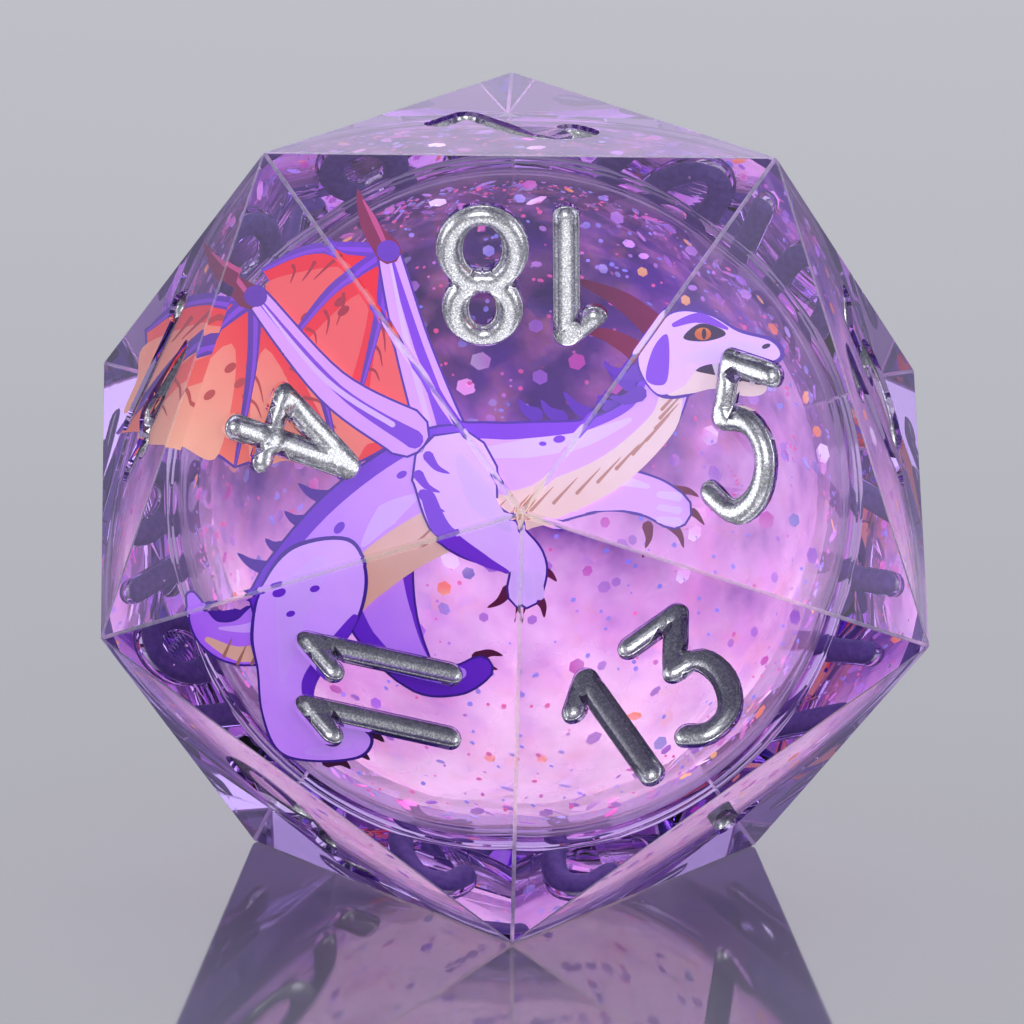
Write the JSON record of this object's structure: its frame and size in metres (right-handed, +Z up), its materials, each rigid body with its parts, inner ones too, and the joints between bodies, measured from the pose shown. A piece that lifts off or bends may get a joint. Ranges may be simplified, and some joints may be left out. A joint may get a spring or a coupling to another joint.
{
  "type": "polyhedral die",
  "caption": "Clear icosahedral die with engraved silver numerals, a liquid-filled ball with drifting glitter at its centre and a folded foil picture inside its front faces.",
  "frame": {"origin": "centre of the face the die rests on, the 19 face", "axes": "+Z up through the centres of the 19 and 2 faces; -Y toward the corner shared by the 18, 5, 13, 11 and 4 faces; +X toward the viewer's right when that corner faces the viewer"},
  "size_m": [0.0354, 0.0408, 0.033],
  "materials": {
    "clear_resin": "polished clear",
    "ball_shell": "polished clear",
    "liquid": "hazy tinted liquid",
    "glitter": "iridescent film",
    "numeral_paint": "silver metallic paint",
    "foil_body": "printed film",
    "foil_limb": "printed film",
    "foil_wing": "printed film"
  },
  "bodies": {
    "die": {"ball_fill_plug": "ball_shell", "ball_shell_front": "ball_shell", "ball_shell_rear": "ball_shell", "foil_foreleg_far": "foil_limb", "foil_foreleg_near": "foil_limb", "foil_head": "foil_limb", "foil_hindleg_far": "foil_limb", "foil_hindleg_near": "foil_limb", "foil_tail": "foil_body", "foil_torso": "foil_body", "foil_wing_far": "foil_wing", "foil_wing_near": "foil_wing", "numeral_10_1": "numeral_paint", "numeral_10_2": "numeral_paint", "numeral_11_1": "numeral_paint", "numeral_11_2": "numeral_paint", "numeral_12_1": "numeral_paint", "numeral_12_2": "numeral_paint", "numeral_13_1": "numeral_paint", "numeral_13_2": "numeral_paint", "numeral_14_1": "numeral_paint", "numeral_14_2": "numeral_paint", "numeral_15_1": "numeral_paint", "numeral_15_2": "numeral_paint", "numeral_16_1": "numeral_paint", "numeral_16_2": "numeral_paint", "numeral_17_1": "numeral_paint", "numeral_17_2": "numeral_paint", "numeral_18_1": "numeral_paint", "numeral_18_2": "numeral_paint", "numeral_19_1": "numeral_paint", "numeral_19_2": "numeral_paint", "numeral_1_1": "numeral_paint", "numeral_20_1": "numeral_paint", "numeral_20_2": "numeral_paint", "numeral_2_1": "numeral_paint", "numeral_3_1": "numeral_paint", "numeral_4_1": "numeral_paint", "numeral_5_1": "numeral_paint", "numeral_6_1": "numeral_paint", "numeral_6_mark": "numeral_paint", "numeral_7_1": "numeral_paint", "numeral_8_1": "numeral_paint", "numeral_9_1": "numeral_paint", "numeral_9_mark": "numeral_paint", "pour_plug": "clear_resin", "resin_inner": "clear_resin", "resin_outer": "clear_resin"},
    "liquid": {"liquid_fill": "liquid"},
    "glitter": {"glitter_flake_1": "glitter", "glitter_flake_10": "glitter", "glitter_flake_2": "glitter", "glitter_flake_3": "glitter", "glitter_flake_4": "glitter", "glitter_flake_5": "glitter", "glitter_flake_6": "glitter", "glitter_flake_7": "glitter", "glitter_flake_8": "glitter", "glitter_flake_9": "glitter"}
  },
  "joints": [
    {"name": "liquid_swirl", "type": "hinge", "parent": "die", "child": "liquid", "pos_m": [0, 0, 0.0165], "axis": [0, 0, 1], "continuous": true},
    {"name": "glitter_tumble", "type": "hinge", "parent": "liquid", "child": "glitter", "pos_m": [0, 0, 0.0165], "axis": [1, 0, 0], "continuous": true}
  ]
}
